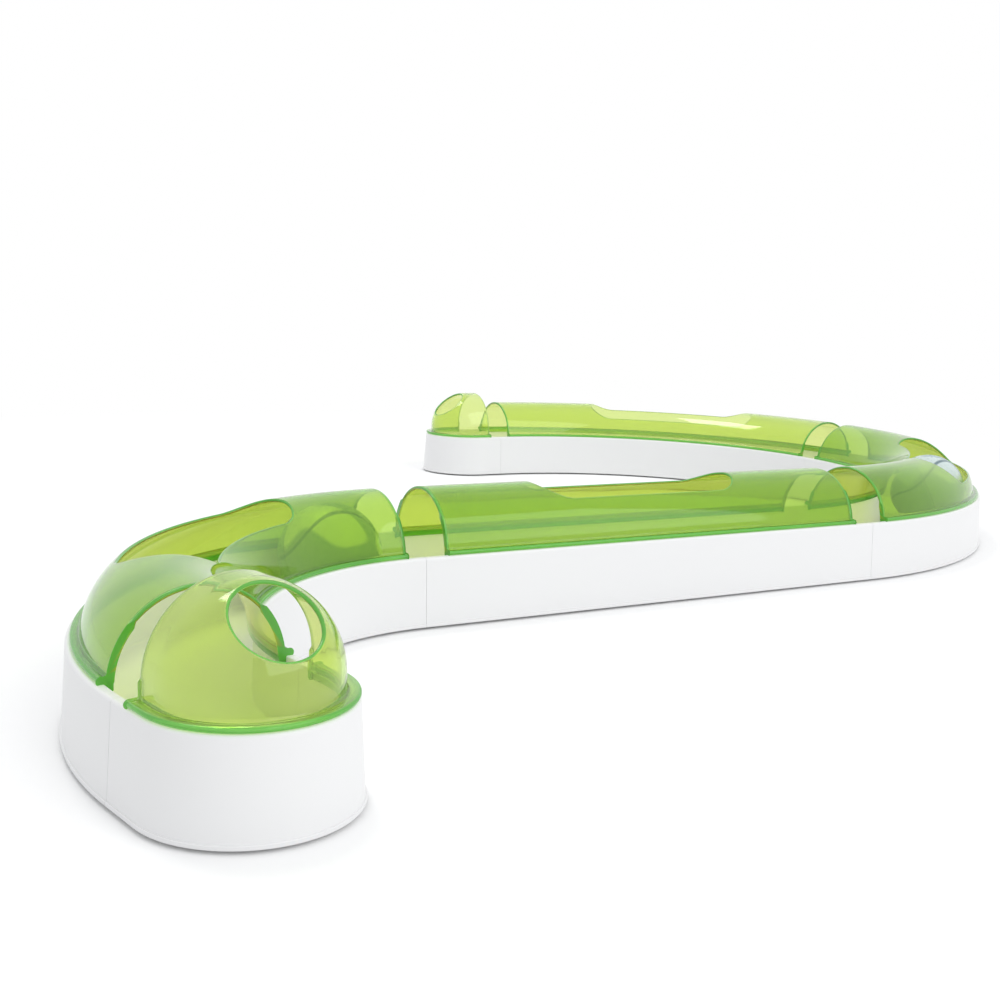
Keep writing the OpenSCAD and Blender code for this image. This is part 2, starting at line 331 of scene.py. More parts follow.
class Nodes:
    """A node tree, and short calls to fill and wire it."""

    def __init__(self, tree: bpy.types.NodeTree) -> None:
        """Empties the tree and keeps it."""
        self.tree = tree
        tree.nodes.clear()

    def feed(self, value: Socket | Colour | float, into: Socket) -> None:
        """Links an output to an input, or sets the input to a colour or a number.

        Args:
            value: The output, colour or number.
            into: The input.
        """
        if isinstance(value, Socket):
            self.tree.links.new(value, into)
        else:
            into.default_value = (*value, 1.0) if isinstance(value, tuple) else value

    def node(self, kind: str, **settings: object) -> bpy.types.Node:
        """Adds a node and feeds its properties and inputs by name; underscores are spaces.

        Args:
            kind: Blender's name for the kind of node.
            settings: Properties and inputs.

        Returns:
            The new node.
        """
        made = self.tree.nodes.new(kind)
        for key, value in settings.items():
            if hasattr(made, key):
                setattr(made, key, value)
            else:
                self.feed(value, made.inputs[key.replace("_", " ")])
        return made

    def mix(self, first: Socket | Colour, second: Socket | Colour, factor: Socket) -> Socket:
        """Colour that goes from the first to the second by a factor."""
        made = self.node("ShaderNodeMix", data_type="RGBA", A=first, B=second, Factor=factor)
        return made.outputs["Result"]

    def shade(self, first: Socket, second: Socket, factor: Socket) -> Socket:
        """Shader that goes from the first to the second by a factor.

        Args:
            first: Shader at 0.
            second: Shader at 1.
            factor: The factor.

        Returns:
            The mixed shader.
        """
        made = self.node("ShaderNodeMixShader")
        for value, into in zip((factor, first, second), made.inputs):
            self.feed(value, into)
        return made.outputs[0]

    def maths(self, operation: str, *values: Socket | float) -> Socket:
        """Result of a maths node.

        Args:
            operation: Blender's name for the operation.
            values: Its inputs in order.

        Returns:
            The result.
        """
        made = self.node("ShaderNodeMath", operation=operation)
        for value, into in zip(values, made.inputs):
            self.feed(value, into)
        return made.outputs[0]

    def ramp(self, source: Socket, start: float, stop: float, low: Socket | float,
             high: float) -> Socket:
        """Maps start to stop of a source onto low to high.

        Args:
            source: The value to map.
            start: Value that becomes low.
            stop: Value that becomes high.
            low: Result at start.
            high: Result at stop.

        Returns:
            The mapped value, kept between low and high.
        """
        span = {"From_Min": start, "From_Max": stop, "To_Min": low, "To_Max": high}
        return self.node("ShaderNodeMapRange", Value=source, **span).outputs[0]

    def noise(self, scale: float, detail: float, rough: float, **more: object) -> Socket:
        """A noise with its scale per metre, on Object coordinates unless told otherwise.

        Args:
            scale: Waves per metre.
            detail: Number of finer layers.
            rough: Strength of the finer layers.
            more: Other inputs by name.

        Returns:
            The noise's value, from 0 to 1.
        """
        if "Vector" not in more:
            more["Vector"] = self.node("ShaderNodeTexCoord").outputs["Object"]
        span = {"Scale": scale, "Detail": detail, "Roughness": rough}
        return self.node("ShaderNodeTexNoise", **span, **more).outputs[0]

    def seen(self) -> Socket:
        """1 for camera, mirror and see-through rays, and 0 for the rays that light the scene.

        Returns:
            The larger of the three kinds of ray's flags.
        """
        path = self.node("ShaderNodeLightPath")
        total = path.outputs["Is Camera Ray"]
        for name in ("Is Glossy Ray", "Is Transmission Ray"):
            total = self.maths("MAXIMUM", total, path.outputs[name])
        return total


class Shader(Nodes):
    """A new node material with a Principled shader."""

    def __init__(self, name: str) -> None:
        """Makes the material and keeps its shader and output.

        Args:
            name: Name of the material.
        """
        self.material: Material = bpy.data.materials.new(name)
        self.material.use_nodes = True
        super().__init__(self.material.node_tree)
        self.output = self.node("ShaderNodeOutputMaterial")
        self.main = self.node("ShaderNodeBsdfPrincipled")
        self.show(self.main.outputs["BSDF"])

    def show(self, surface: Socket) -> None:
        """Makes a shader the material's surface."""
        self.feed(surface, self.output.inputs["Surface"])

    def set(self, **values: Socket | Colour | float) -> None:
        """Feeds inputs of the Principled shader; underscores are spaces."""
        for key, value in values.items():
            self.feed(value, self.main.inputs[key.replace("_", " ")])

    def spread(self, source: Socket, span: Span) -> Socket:
        """Maps a noise's middle range onto a span."""
        return self.ramp(source, 0.3, 0.7, *span)

    def bump(self, source: Socket, strength: float, distance: float) -> None:
        """Feeds a noise into the shader's normal as a fine bump, with distance in metres."""
        made = self.node("ShaderNodeBump", Height=source, Strength=strength, Distance=distance)
        self.set(Normal=made.outputs["Normal"])


@dataclass(frozen=True)
class PlainFinish:
    """An opaque plastic or rubber: two near tones on one noise, and a fine bump on another.

    Each noise is its scale per metre, detail and roughness; the bump is strength and metres.
    """

    name: str
    tones: tuple[Colour, Colour]
    cloud: tuple[float, float, float]
    grain: tuple[float, float, float]
    rough: Span
    bump: Span
    specular: float

    def make(self) -> Material:
        """Feeds the shader with the two tones, the roughness and the bump.

        Returns:
            The finished material.
        """
        s = Shader(self.name)
        cloud = s.noise(*self.cloud)
        s.set(Base_Color=s.mix(*self.tones, cloud), Roughness=s.spread(cloud, self.rough))
        s.set(IOR=1.5, Specular_IOR_Level=self.specular)
        s.bump(s.noise(*self.grain), *self.bump)
        return s.material


@dataclass(frozen=True)
class ClearLime:
    """Clear lime plastic, greener outside; a yellower inside and green cut edges are painted glow.
    """

    name: str
    outside: Colour
    # painted light: the inside colour is a yellow glow that stands in for light shining through
    # the wall
    inside: Colour
    clear_outside: float
    clear_inside: float
    # painted glow: a diffuse green on cut edges that stands in for light carried through the
    # plastic to its edges
    edge: Colour = (0.13, 0.50, 0.07)
    clear_edge: float = 0.3
    through: Colour = (0.93, 0.98, 0.72)
    depth: Colour = (0.45, 0.84, 0.04)
    density: float = 40.0
    rough: Span = (0.02, 0.06)
    flow_depth: float = 0.0006

    def make(self) -> Material:
        """Feeds the shader by inner and edge marks, which paint glow; lamps pass it through a
        plain tint.

        Returns:
            The finished material.
        """
        s = Shader(self.name)
        inner = s.node("ShaderNodeAttribute", attribute_name="inner").outputs["Fac"]
        edge = s.node("ShaderNodeAttribute", attribute_name="edge").outputs["Fac"]
        clear = s.ramp(inner, 0.0, 1.0, self.clear_outside, self.clear_inside)
        clear = s.ramp(edge, 0.0, 1.0, clear, self.clear_edge)
        # painted light: inner faces take the yellow glow colour
        wall = s.mix(self.outside, self.inside, inner)
        # painted glow: cut edges take the green edge colour and lose clearness
        s.set(Base_Color=s.mix(wall, self.edge, edge), Transmission_Weight=clear)
        flow = s.noise(26.0, 2.0, 0.4)
        s.set(Roughness=s.spread(flow, self.rough), IOR=1.46, Specular_IOR_Level=0.5)
        s.bump(flow, 0.05, self.flow_depth)
        tint = s.node("ShaderNodeBsdfTransparent", Color=self.through).outputs[0]
        shadow = s.node("ShaderNodeLightPath").outputs["Is Shadow Ray"]
        s.show(s.shade(s.main.outputs["BSDF"], tint, shadow))
        fog = s.node("ShaderNodeVolumeAbsorption", Density=self.density, Color=self.depth)
        s.feed(fog.outputs["Volume"], s.output.inputs["Volume"])
        return s.material


@dataclass(frozen=True)
class PrintedBall:
    """Smooth pale ball plastic with broad soft patches and a few thin winding lines."""

    name: str
    ground: Colour
    patch: Colour
    centre: Place
    line: Colour = (0.08, 0.15, 0.18)
    patch_edge: Span = (0.485, 0.505)
    line_edge: Span = (0.004, 0.010)
    line_strength: float = 0.85
    rough: Span = (0.24, 0.32)

    def make(self) -> Material:
        """Patches are where a slow noise is high; lines are where a second one is near a half.

        Returns:
            The finished material.
        """
        s = Shader(self.name)
        move = s.node("ShaderNodeMapping", Vector=s.node("ShaderNodeTexCoord").outputs["Object"])
        move.inputs["Location"].default_value = [-c * MM for c in self.centre]
        place = move.outputs["Vector"]
        slow = s.noise(24.0, 0.5, 0.4, Vector=place, Distortion=0.6)
        wind = s.noise(20.0, 0.0, 0.3, Vector=place)
        off = s.maths("ABSOLUTE", s.maths("SUBTRACT", wind, 0.5))
        colour = s.mix(self.ground, self.patch, s.ramp(slow, *self.patch_edge, 0.0, 1.0))
        thin = s.ramp(off, *self.line_edge, self.line_strength, 0.0)
        s.set(Base_Color=s.mix(colour, self.line, thin), IOR=1.5, Specular_IOR_Level=0.5)
        s.set(Roughness=s.spread(s.noise(700.0, 3.0, 0.5), self.rough))
        return s.material


@dataclass
class Finishes:
    """All finishes of the toy, each made once."""

    white: Material
    # painted light and shade: one clear plastic in a darker shaded copy and a paler lit copy
    shaded_lime: Material
    lit_lime: Material
    rubber: Material

    @classmethod
    def make(cls) -> Finishes:
        """Makes every shared finish.

        Returns:
            The finishes.
        """
        # painted shade and light: the near covers take the darker copy, the far cover and the
        # domes the paler one
        deep = ClearLime("shaded_lime", (0.25, 0.61, 0.09), (1.0, 0.80, 0.12), 0.89, 0.80)
        pale = ClearLime("lit_lime", (0.62, 0.82, 0.28), (0.98, 0.94, 0.40), 0.93, 0.90)
        tones = ((0.86, 0.86, 0.865), (0.82, 0.82, 0.825))
        cloud, grain = (9.0, 3.0, 0.5), (900.0, 4.0, 0.6)
        white = PlainFinish("moulded_white", tones, cloud, grain, (0.34, 0.44), (0.06, 4e-5), 0.4)
        tones, dust = ((0.46, 0.46, 0.47), (0.36, 0.36, 0.37)), (420.0, 5.0, 0.6)
        rubber = PlainFinish("soft_rubber", tones, dust, dust, (0.75, 0.9), (0.25, 1e-4), 0.25)
        return cls(white.make(), deep.make(), pale.make(), rubber.make())


def dress(piece: Piece, finish: Material, body: str, node: str, slot: Slot) -> Piece:
    """Gives a piece its finish and lets it stand for its CAD node.

    Args:
        piece: The new object.
        finish: Its material.
        body: Name of the CAD body that it moves with.
        node: Name of the CAD node that it stands for.
        slot: The record's material slot; not used.

    Returns:
        The same piece.
    """
    piece.data.materials.clear()
    piece.data.materials.append(finish)
    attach(piece, body)
    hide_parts(node)
    LOG.info("%s: %d faces, for %s", piece.name, len(piece.data.polygons), node)
    return piece


# Channel bases


@dataclass(frozen=True)
class ChannelShape:
    """Cross-section of a channel base, in mm."""

    foot: float = 1.0
    seat: float = 27.0
    floor: float = 5.0
    half_rim: float = 27.2
    half_bottom: float = 28.5
    half_channel: float = 24.2
    lip_h: float = 1.2
    lip_out: float = 0.49
    lip_low: float = 0.2
    lip_top: Span = (0.12, 0.15)
    lip_step: float = 0.05
    rim_round: float = 1.1
    inner_round: float = 0.4
    fillet: float = 1.2
    seam: float = 0.06
    knob_side: float = 11.0
    knob_reach: float = 8.0
    knob_r: float = 4.5
    neck_half: float = 2.3
    knob_gap: float = 0.35

    @property
    def half_plate(self) -> float:
        """Half width of the floor between the two fillets."""
        return self.half_channel - self.fillet

    def wall(self) -> Array:
        """Outline of one wall as side and height: lip, drafted face, rounded rim, fillet, foot.

        Returns:
            Points of the closed outline, for the side at + side.
        """
        b, top = self.half_bottom, self.foot + self.lip_h
        r, q, f = self.rim_round, self.inner_round, self.fillet
        rim = circle(self.half_rim - r, self.seat - r, r, arc(0, 90, 8))
        inner = circle(self.half_channel + q, self.seat - q, q, arc(90, 180, 5))
        side, plate = [self.half_channel, self.floor], [self.half_plate, self.floor]
        low = bow(*np.array([[self.half_channel, self.floor + f], side, plate]), 6)
        out, c, (d, e) = b + self.lip_out, self.lip_low, self.lip_top
        lip = [[out - c, self.foot], [out, self.foot + c], [out, top - e]]
        lip += [[out - d, top], [b, top + self.lip_step]]
        return np.concatenate([lip, rim, inner, low, [[self.half_plate, self.foot]]])

    def joint_edge(self) -> Array:
        """Edge of the floor at a joint, from right to left: socket, then knob, as out and left.

        The socket is a neck and a round head cut in; the knob is the same shape standing out.

        Returns:
            Points of the open line.
        """
        g, h, k = -self.seam, self.half_plate, self.knob_side
        a, big = self.neck_half + self.knob_gap, self.knob_r + self.knob_gap
        b, small = self.neck_half, self.knob_r
        cut = math.degrees(math.asin(a / big))
        out = math.degrees(math.asin(b / small))
        hole = circle(-self.knob_reach, -k, big, arc(-cut, -360 + cut, 28))
        head = circle(self.knob_reach, k, small, arc(180 + out, 540 - out, 28))
        return np.concatenate(
            [[[g, -h], [g, -k - a]], hole, [[g, -k + a], [g, k - b]], head, [[g, k + b], [g, h]]]
        )


@dataclass
class ChannelBase:
    """A white channel base: two walls and a floor with a knob and a socket at each joint."""

    name: str
    shape: ChannelShape = ChannelShape()

    def plate(self, skin: Skin, outline: Array) -> None:
        """Adds the floor: an outline in plan, carried from the foot to the channel's floor.

        Args:
            skin: Where the surfaces go.
            outline: Corners in plan, in mm.
        """
        s = self.shape
        low, high = (np.insert(outline, 2, height, axis=1) for height in (s.foot, s.floor))
        skin.flat(high)
        skin.flat(low, flip=True)
        skin.grid(np.stack([low, high]), closed=True)

    def finish(self, skin: Skin, finishes: Finishes) -> Piece:
        """Makes the piece and dresses it in white."""
        body, node = f"{self.name}_module", f"{self.name}_base"
        return dress(skin.piece(35.0), finishes.white, body, node, Slot.BASE)


@dataclass
class RunBase(ChannelBase):
    """Base of the straight module or of a curved one."""

    way: Way = PLAN.straight
    step: float = 1.6

    def build(self, finishes: Finishes) -> Piece:
        """Both walls and the floor, carried along the way.

        Args:
            finishes: The toy's materials.

        Returns:
            The new object.
        """
        skin = Skin(f"{self.name}_channel")
        s, way = self.shape, self.way
        reach = way.length / 2 - s.seam
        along = np.linspace(-reach, reach, int(way.length / self.step))
        profile = s.wall()
        for side in Side:
            skin.bar(way.place(along[:, None], side.value * profile[:, 0], profile[:, 1]))
        edge = s.joint_edge()
        ends = [way.joint(far).place(edge[:, 0], edge[:, 1], 0.0)[:, :2] for far in (False, True)]
        walk = along[::-1][1:-1]
        first = way.place(walk, s.half_plate, 0.0)[:, :2]
        back = way.place(walk[::-1], -s.half_plate, 0.0)[:, :2]
        self.plate(skin, np.concatenate([ends[0], first, ends[1], back]))
        return self.finish(skin, finishes)


@dataclass
class EndBase(ChannelBase):
    """Base of a dead end: a short straight run that closes in a half round."""

    joint: JointFrame = PLAN.hook.joint(True)
    run_len: float = PLAN.end_run

    def rail(self) -> tuple[Array, Array]:
        """Stations of the U-shaped wall: base points on the centreline and outward normals.

        Returns:
            Distances out of the joint, and unit normals as out and left.
        """
        lead = np.linspace(self.shape.seam, self.run_len, 8)
        turn = arc(-90, 90, 73)
        x = np.concatenate([lead[:-1], np.full(len(turn), self.run_len), lead[::-1][1:]])
        normal = circle(0.0, 0.0, 1.0, turn)
        left, right = [[0.0, -1.0]] * (len(lead) - 1), [[0.0, 1.0]] * (len(lead) - 1)
        return x, np.concatenate([left, normal, right])

    def build(self, finishes: Finishes) -> Piece:
        """The wall carried round the U, and the floor with its knob and socket.

        Args:
            finishes: The toy's materials.

        Returns:
            The new object.
        """
        skin = Skin(f"{self.name}_channel")
        s = self.shape
        x, normal = self.rail()
        p = s.wall()
        out, left = x[:, None] + normal[:, :1] * p[:, 0], normal[:, 1:] * p[:, 0]
        skin.bar(self.joint.place(out, left, p[:, 1]))
        edge = s.joint_edge()
        back = JointFrame(self.joint.x, self.joint.y, self.joint.heading + 180.0)
        cap = np.stack([x + normal[:, 0] * s.half_plate, normal[:, 1] * s.half_plate], -1)
        cap = self.joint.place(cap[:, 0], cap[:, 1], 0.0)[1:-1, :2]
        first = back.place(edge[:, 0], edge[:, 1], 0.0)[:, :2]
        self.plate(skin, np.concatenate([first, cap]))
        return self.finish(skin, finishes)


# Covers


def eased(count: int, even: float) -> Array:
    """Shares from near 0 to 1 that lie wider apart as they grow, and evenly if even is 1."""
    share = np.linspace(0, 1, count)[1:]
    return even * share + (1 - even) * share**2


def rim_marks(over: int, total: int) -> tuple[Array, Array]:
    """Edge and inner marks of rows that run over a wall, round its edge and back under it.

    Args:
        over: Number of rows before the edge.
        total: Number of all rows.

    Returns:
        Both marks, one for each row.
    """
    marks, inner = np.zeros((total, 1)), np.zeros((total, 1))
    marks[over + 1 : over + 7] = 1.0
    inner[over + 6 :] = 1.0
    return marks, inner


@dataclass(frozen=True)
class CoverShape:
    """Cross-section of a cover, in mm."""

    radius: float = 23.6
    wall: float = 1.2
    rise: float = 22.4
    half_flange: float = 26.0
    flange: float = 1.6
    seat: float = 27.0
    lift: float = 0.06
    crest: float = 50.0
    mouth_round: float = 0.5
    fillet: float = 0.9
    rib_out: float = 23.85
    rib_t: float = 1.3
    rib_drop: float = 2.0
    chamfer: float = 0.3
    rib_gap: float = 0.08
    mark_from: float = 1.3
    mark_over: float = 0.9
    inner_mouth: float = 0.4

    @property
    def middle(self) -> float:
        """Radius of the wall's middle layer."""
        return self.radius - self.wall / 2

    @property
    def centre(self) -> float:
        """Height of the arch's centre."""
        return self.seat + self.rise - self.radius

    def arch(self, angle: Array, depth: Array) -> Array:
        """Side and height at an angle from the crest and a depth under the outer face.

        Args:
            angle: Angle from the crest, in radians.
            depth: Depth in mm.

        Returns:
            Points as side and height.
        """
        reach = self.radius - np.asarray(depth)
        side, height = reach * np.sin(angle), self.centre + reach * np.cos(angle)
        return np.stack(np.broadcast_arrays(side, height), -1)

    def foot(self) -> Array:
        """Open outline of one side from the outer face at the crest band to the inner one.

        The outer face runs down to a small fillet, over the flange, round its edge, back under it,
        round the rib that drops into the channel, and up the inner face. A cover that rises more
        than its radius has an upright wall under the arch.

        Returns:
            Points as side and height, for the side at + side.
        """
        half, top, low = self.half_flange, self.seat + self.flange, self.seat + self.lift
        inner_edge, c = self.radius - self.wall, self.chamfer
        if self.rise > self.radius:
            edge = self.radius
            outer = np.array([[edge, self.centre], [edge, top + self.fillet]])
            heights = [low + c, top + self.fillet, self.centre]
            inner = np.array([[inner_edge, height] for height in heights])
        else:
            stop = math.degrees(math.acos((top + self.fillet - self.centre) / self.radius))
            outer = self.arch(arc(self.crest, stop, 12), 0.0)
            edge = math.sqrt(self.radius**2 - (top - self.centre) ** 2)
            last = math.degrees(math.acos((low + c - self.centre) / inner_edge))
            inner = self.arch(arc(last, self.crest, 13), self.wall)
        bend = bow(outer[-1], np.array([edge, top]), np.array([edge + self.fillet, top]), 6)[1:]
        tip = min(self.flange / 2, half - edge - self.fillet)
        around = arc(90, -90, 9)
        tall = (top - low) / 2
        rim = np.stack([half - tip + tip * np.cos(around), low + tall + tall * np.sin(around)], -1)
        under, back, deep = self.rib_out, self.rib_out - self.rib_t, self.seat - self.rib_drop
        rib = [[under, low], [under, deep + c], [under - c, deep], [back + c, deep]]
        rib += [[back, deep + c], [back, low], [inner_edge + self.rib_gap, low]]
        return np.concatenate([outer, bend, rim, np.array(rib), inner])

    def flange_marks(self, outline: Array) -> Array:
        """Edge marks of an outline: 0 on the wall, rising to 1 at the flange's edge."""
        past = np.abs(outline[..., 0]) - self.half_flange + self.mark_from
        return np.clip(past / self.mark_over, 0.0, 1.0)

    def inner_face(self, outline: Array) -> Array:
        """1 where an outline is on the wall's inner face, and 0 elsewhere."""
        reach = np.hypot(outline[..., 0], np.maximum(outline[..., 1] - self.centre, 0.0))
        return ((reach < self.middle) & (outline[..., 1] > self.seat + self.lift)).astype(float)

    def to_mouth(self, skin: Skin, ring: Callable[[float], Array], place: Callable[..., Array],
                 plain: Array, stop: float, mark: float) -> None:
        """Carries a cross-section through plain stations to a mouth with a rounded edge.

        Args:
            skin: Where the surfaces go.
            ring: Gives the closed cross-section, moved inwards by a depth.
            place: Turns along, side and height into world places.
            plain: Places along the way before the rounding.
            stop: Place of the mouth.
            mark: Edge mark of the mouth.
        """
        q = math.copysign(self.mouth_round, stop - plain[0])
        stations = [(a, 0.0) for a in plain]
        for a in arc(0, 90, 5)[1:]:
            stations.append((stop - q * (1 - math.sin(a)), self.mouth_round * (1 - math.cos(a))))
        rows = np.stack([place(a, *ring(depth).T) for a, depth in stations])
        outline = ring(0.0)
        inner = self.inner_face(outline)
        mouth = np.zeros((len(stations), 1))
        mouth[-5:] = mark
        weaker = 1 - (1 - self.inner_mouth) * inner
        marks = np.maximum(self.flange_marks(outline), mouth * weaker)
        skin.grid(rows, closed=True, marks=marks, inner=inner)
        skin.flat(rows[-1], mark=mark)


def pulled_in(outline: Array, depth: float) -> Array:
    """An open outline moved inwards by a depth, along normals from its neighbours.

    Args:
        outline: Points as side and height.
        depth: Depth in mm.

    Returns:
        The moved points.
    """
    if depth == 0.0:
        return outline
    step = np.gradient(outline, axis=0)
    step[0], step[-1] = outline[1] - outline[0], outline[-1] - outline[-2]
    size = np.maximum(np.hypot(step[:, 0], step[:, 1]), 1e-9)[:, None]
    normal = np.stack([step[:, 1], -step[:, 0]], -1) / size
    return outline - normal * depth


@dataclass(frozen=True)
class SlotShape:
    """A paw slot, in mm: a strip with half-round ends, set off from the cover's middle."""

    length: float = 102.0
    half: float = 14.0
    shift: float = 4.0
    side: float = 0.0

    @property
    def reach(self) -> float:
        """Distance from the slot's middle to the centre of each round end."""
        return self.length / 2 - self.half

    def outline(self) -> Array:
        """Dense closed outline as along and side, anticlockwise from the lower left.

        Returns:
            Points of the outline, in mm.
        """
        line = np.linspace(-self.reach, self.reach, 400)
        low = np.stack([line, np.full_like(line, -self.half)], -1)
        right = circle(self.reach, 0.0, self.half, arc(-90, 90, 240))
        left = circle(-self.reach, 0.0, self.half, arc(90, 270, 240))
        parts = [low, right[1:], (low[::-1] * [1.0, -1.0])[1:], left[1:-1]]
        return np.concatenate(parts) + [-self.shift, self.side]


@dataclass
class TunnelCover:
    """A clear half-round cover with a paw slot along its crest."""

    name: str
    way: Way
    setback: float
    slot: SlotShape
    shape: CoverShape
    # whether the cover takes the paler lit copy of the plastic rather than the shaded one
    pale: bool
    margin: float = 9.0

    def crest_angles(self) -> Array:
        """Angles of the columns across the crest band."""
        return arc(-self.shape.crest, self.shape.crest, 25)

    def ring(self, depth: float) -> Array:
        """Closed cross-section of the whole cover, moved inwards by a depth.

        Args:
            depth: Depth in mm.

        Returns:
            Points as side and height.
        """
        right = pulled_in(self.shape.foot(), depth)
        left = right[::-1] * [-1.0, 1.0]
        angle = self.crest_angles()[1:-1]
        over = self.shape.arch(angle, depth)
        under = self.shape.arch(angle[::-1], self.shape.wall - depth)
        return np.concatenate([over, right, under, left])

    def lengthwise(self, skin: Skin, start: float, stop: float) -> None:
        """Adds the stretch from the slot's zone to a mouth.

        Args:
            skin: Where the surfaces go.
            start: Place along the way where the zone ends.
            stop: Place of the mouth.
        """
        shape = self.shape
        q = math.copysign(shape.mouth_round, stop - start)
        plain = np.append(np.linspace(start, stop - 3 * q, 22), stop - q)
        shape.to_mouth(skin, self.ring, self.way.place, plain, stop, 1.0)

    def slot_zone(self, skin: Skin, low: float, high: float) -> None:
        """Adds the zone round the slot: plain sides, and a crest band that closes on the slot.

        The band is a ring of quads from the slot's outline to a box. Its outer and inner faces
        join in a half-round edge along the slot.

        Args:
            skin: Where the surfaces go.
            low: Place along the way where the zone starts.
            high: Place where it ends.
        """
        shape, mid = self.shape, self.shape.middle
        along = np.linspace(low, high, 85)
        foot = shape.foot()
        flange, inner = shape.flange_marks(foot), shape.inner_face(foot)
        for side in Side:
            sheet = self.way.place(along[:, None], side.value * foot[:, 0], foot[:, 1])
            skin.grid(sheet, marks=flange, inner=inner)
        across = self.crest_angles() * mid
        start, stop = across[0], across[-1]
        sides = ((along, start), (high, across), (along[::-1], stop), (low, across[::-1]))
        box = np.concatenate([np.stack(np.broadcast_arrays(*side), -1)[:-1] for side in sides])
        rim, normal = self.slot_rim(along, across)
        half = shape.wall / 2
        rows = []
        for a in arc(0, 180, 11):
            reach = half * (1 - math.sin(a))
            rows.append((rim + normal * reach, half * (1 - math.cos(a))))
        spread = [(rim + normal * half) * (1 - g) + box * g for g in eased(11, 0.45)]
        rows = [(flat, 0.0) for flat in spread[::-1]] + rows
        rows += [(flat, shape.wall) for flat in spread]
        places = []
        for flat, depth in rows:
            point = shape.arch(flat[:, 1] / mid, depth)
            places.append(self.way.place(flat[:, 0], point[:, 0], point[:, 1]))
        marks, inner = rim_marks(len(spread), len(places))
        skin.grid(np.stack(places), closed=True, marks=marks, inner=inner)

    def slot_rim(self, along: Array, across: Array) -> tuple[Array, Array]:
        """Slot outline points that pair with the box's points, and their outward normals.

        Four anchors at 45 degrees on the round ends pair with the box's corners, and points in
        between are shared out by length.

        Args:
            along: Columns of the box along the way.
            across: Columns of the box across the crest, as arc lengths.

        Returns:
            Points and unit normals, both as along and across.
        """
        mid = self.shape.middle
        line = self.slot.outline()
        line = np.stack([line[:, 0], mid * np.arcsin(line[:, 1] / mid)], -1)
        low, high = -self.slot.reach - self.slot.shift, self.slot.reach - self.slot.shift
        part = self.slot.half * math.sqrt(0.5)
        under = mid * math.asin((self.slot.side - part) / mid)
        over = mid * math.asin((self.slot.side + part) / mid)
        first, last = low - part, high + part
        corners = [(first, under), (last, under), (last, over), (first, over)]
        at = [int(np.argmin(np.hypot(*(line - c).T))) for c in corners]
        turned = np.roll(line, -at[0], axis=0)
        stops = [(a - at[0]) % len(line) for a in at] + [len(line)]
        closed = np.concatenate([turned, turned[:1]])
        points = []
        counts = [len(along) - 1, len(across) - 1] * 2
        for start, stop, count in zip(stops[:-1], stops[1:], counts):
            part = closed[start : stop + 1]
            length = np.concatenate([[0], np.cumsum(np.hypot(*np.diff(part, axis=0).T))])
            want = np.linspace(0, length[-1], count + 1)[:-1]
            points.append(np.stack([np.interp(want, length, part[:, k]) for k in (0, 1)], -1))
        rim = np.concatenate(points)
        step = np.roll(rim, -1, axis=0) - np.roll(rim, 1, axis=0)
        normal = np.stack([step[:, 1], -step[:, 0]], -1)
        return rim, normal / np.hypot(*normal.T)[:, None]

    def build(self, finishes: Finishes) -> Piece:
        """Mouth stretches and slot zone, in one closed piece.

        Args:
            finishes: The toy's materials.

        Returns:
            The new object.
        """
        skin = Skin(f"{self.name}_tunnel")
        reach = self.way.length / 2 - self.setback
        half = self.slot.length / 2 + self.margin
        low, high = -half - self.slot.shift, half - self.slot.shift
        self.lengthwise(skin, high, reach)
        self.lengthwise(skin, low, -reach)
        self.slot_zone(skin, low, high)
        # painted light and shade: the cover takes the lit or the shaded copy of one plastic
        finish = finishes.lit_lime if self.pale else finishes.shaded_lime
        body, node = f"{self.name}_lid", f"{self.name}_cover"
        return dress(skin.piece(45.0), finish, body, node, Slot.COVER)


